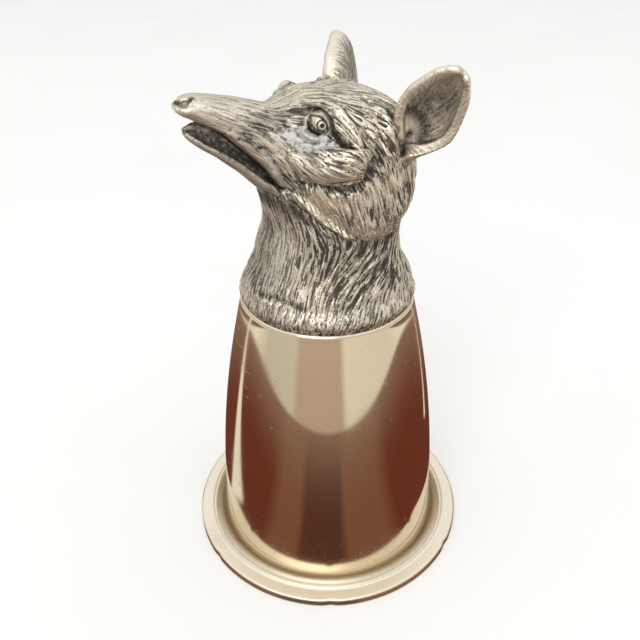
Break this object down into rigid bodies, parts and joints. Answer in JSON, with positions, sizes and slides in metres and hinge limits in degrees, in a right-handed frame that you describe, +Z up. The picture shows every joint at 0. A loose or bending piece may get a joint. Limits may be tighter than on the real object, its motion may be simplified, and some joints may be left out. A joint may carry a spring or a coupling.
{
  "type": "stirrup cup",
  "caption": "Stirrup cup: tapered silver-plated cup standing mouth down on its wide stepped lip, crowned by a cast fox head with furred neck, open jaws and cupped ears.",
  "frame": {"origin": "centre of the lip, on the plane the cup stands on", "axes": "+Z up along the cup's axis towards the head; the fox looks along -Y and its left side is +X"},
  "size_m": [0.09, 0.09, 0.151],
  "materials": {
    "cup_plate": "polished silver plate over brass, warm and lightly scratched",
    "lip_plate": "silver plate rubbed to a soft satin",
    "cast_fur": "antiqued silver plate on cast white metal, dark in the recesses",
    "eye_bead": "worn plate, satin",
    "seal": "fibre seal, matte",
    "screw_brass": "turned brass"
  },
  "bodies": {
    "root": {"beaker": "cup_plate", "lip_band": "lip_plate", "sealing_washer": "seal", "fixing_screw": "screw_brass", "neck_plate": "screw_brass", "head_casting": "cast_fur", "lower_jaw": "cast_fur", "left_ear": "cast_fur", "right_ear": "cast_fur", "left_eye": "eye_bead", "right_eye": "eye_bead"}
  },
  "joints": []
}
